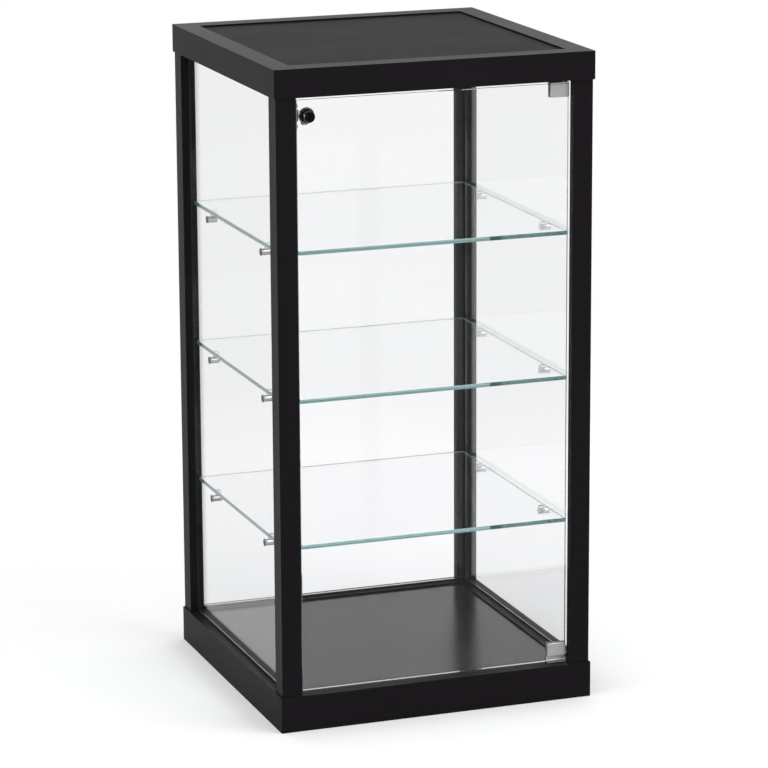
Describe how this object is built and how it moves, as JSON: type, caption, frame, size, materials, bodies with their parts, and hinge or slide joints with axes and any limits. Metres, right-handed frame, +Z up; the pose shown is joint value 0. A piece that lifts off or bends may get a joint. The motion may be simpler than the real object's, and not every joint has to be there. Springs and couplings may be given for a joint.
{
  "type": "glass display case",
  "caption": "Tall square glass display case in a black metal frame, with glass shelves on chrome pins and one pivot-hinged glass door with a cam lock.",
  "frame": {"origin": "centre of the square footprint, on the floor", "axes": "+Z up, the door is the -Y side, +X is the hinge side seen from the front"},
  "size_m": [0.4, 0.4, 0.8],
  "materials": {
    "frame_coat": "satin black powder coat on folded sheet steel",
    "post_coat": "satin black coated extrusion",
    "black_panel": "matt black faced board",
    "clear_glass": "clear toughened float glass with ground edges",
    "black_rubber": "black glazing rubber",
    "chrome_metal": "polished chrome plate",
    "plated_steel": "zinc plated steel",
    "black_nylon": "black nylon",
    "lock_black": "black plated zinc casting"
  },
  "bodies": {
    "case": {"base_frame": "frame_coat", "cap_frame": "frame_coat", "deck_panel": "black_panel", "top_panel": "black_panel", "post_front_left": "post_coat", "post_front_right": "post_coat", "post_back_right": "post_coat", "post_back_left": "post_coat", "base_screw_front_left": "plated_steel", "base_screw_front_right": "plated_steel", "base_screw_back_right": "plated_steel", "base_screw_back_left": "plated_steel", "cap_screw_front_left": "plated_steel", "cap_screw_front_right": "plated_steel", "cap_screw_back_right": "plated_steel", "cap_screw_back_left": "plated_steel", "left_pane": "clear_glass", "right_pane": "clear_glass", "back_pane": "clear_glass", "left_gasket": "black_rubber", "right_gasket": "black_rubber", "back_gasket": "black_rubber", "shelf_lower": "clear_glass", "shelf_pin_lower_front_left": "chrome_metal", "shelf_pin_lower_front_right": "chrome_metal", "shelf_pin_lower_back_left": "chrome_metal", "shelf_pin_lower_back_right": "chrome_metal", "shelf_middle": "clear_glass", "shelf_pin_middle_front_left": "chrome_metal", "shelf_pin_middle_front_right": "chrome_metal", "shelf_pin_middle_back_left": "chrome_metal", "shelf_pin_middle_back_right": "chrome_metal", "shelf_upper": "clear_glass", "shelf_pin_upper_front_left": "chrome_metal", "shelf_pin_upper_front_right": "chrome_metal", "shelf_pin_upper_back_left": "chrome_metal", "shelf_pin_upper_back_right": "chrome_metal", "hinge_bush_top": "black_nylon", "hinge_bush_bottom": "black_nylon", "lock_keeper": "plated_steel", "keeper_screw_lower": "plated_steel", "keeper_screw_upper": "plated_steel"},
    "door": {"door_glass": "clear_glass", "hinge_front_plate_top": "chrome_metal", "hinge_bracket_top": "chrome_metal", "hinge_pin_top": "chrome_metal", "hinge_screw_top": "plated_steel", "hinge_front_plate_bottom": "chrome_metal", "hinge_bracket_bottom": "chrome_metal", "hinge_pin_bottom": "chrome_metal", "hinge_screw_bottom": "plated_steel", "lock_body": "chrome_metal", "lock_washer": "black_rubber", "lock_nut": "chrome_metal"},
    "lock_cylinder": {"lock_plug": "lock_black", "lock_cam": "plated_steel", "lock_cam_screw": "plated_steel"}
  },
  "joints": [
    {"name": "door_hinge", "type": "hinge", "parent": "case", "child": "door", "pos_m": [0.165, -0.1855, 0.05], "axis": [0, 0, 1], "range_deg": [0, 100]},
    {"name": "lock_turn", "type": "hinge", "parent": "door", "child": "lock_cylinder", "pos_m": [-0.157, -0.19, 0.743], "axis": [0, 1, 0], "range_deg": [0, 90]}
  ]
}
